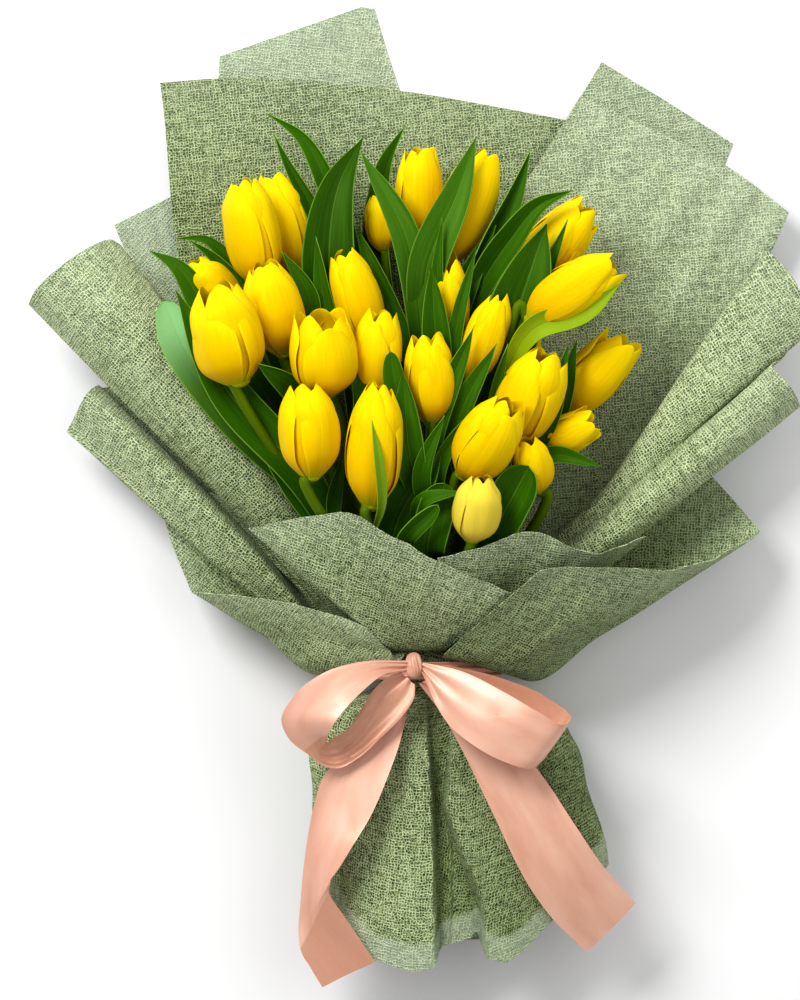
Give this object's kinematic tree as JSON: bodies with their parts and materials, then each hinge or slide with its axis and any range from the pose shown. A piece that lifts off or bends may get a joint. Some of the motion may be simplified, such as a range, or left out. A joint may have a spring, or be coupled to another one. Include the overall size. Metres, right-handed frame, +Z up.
{
  "type": "bunch of tulips",
  "caption": "Wrapped bunch of yellow tulips with leaves, in layered green mesh paper tied with a satin bow, lying on its back.",
  "frame": {"origin": "bottom centre of the bounding box, on the surface that the bunch lies on", "axes": "+Y along the bunch towards the flower heads, +Z up, the side of the bow, +X to the right of someone who looks down on the bow"},
  "size_m": [0.4704, 0.5932, 0.1328],
  "materials": {
    "petals": "waxy yellow petal",
    "foliage": "waxy green leaf and stem",
    "wrap": "open woven-look non-woven",
    "ribbon": "satin"
  },
  "bodies": {
    "root": {"ribbon_band": "ribbon", "ribbon_knot": "ribbon", "ribbon_left_loop": "ribbon", "ribbon_left_tail": "ribbon", "ribbon_right_loop": "ribbon", "ribbon_right_tail": "ribbon", "stems_and_leaves_back": "foliage", "stems_and_leaves_front": "foliage", "stems_and_leaves_middle_back": "foliage", "stems_and_leaves_middle_front": "foliage", "tulip_head_01": "petals", "tulip_head_02": "petals", "tulip_head_03": "petals", "tulip_head_04": "petals", "tulip_head_05": "petals", "tulip_head_06": "petals", "tulip_head_07": "petals", "tulip_head_08": "petals", "tulip_head_09": "petals", "tulip_head_10": "petals", "tulip_head_11": "petals", "tulip_head_12": "petals", "tulip_head_13": "petals", "tulip_head_14": "petals", "tulip_head_15": "petals", "tulip_head_16": "petals", "tulip_head_17": "petals", "tulip_head_18": "petals", "tulip_head_19": "petals", "tulip_head_20": "petals", "tulip_head_21": "petals", "tulip_head_22": "petals", "tulip_head_23": "petals", "tulip_head_24": "petals", "tulip_head_25": "petals", "tulip_head_26": "petals", "wrap_back_left": "wrap", "wrap_back_right_inner": "wrap", "wrap_back_right_outer": "wrap", "wrap_back_top": "wrap", "wrap_front_centre_flap": "wrap", "wrap_front_left_flap": "wrap", "wrap_front_right_flap": "wrap", "wrap_inner_and_tail": "wrap", "wrap_left_inner": "wrap", "wrap_left_roll": "wrap", "wrap_lower_left": "wrap", "wrap_right_roll": "wrap"}
  },
  "joints": []
}
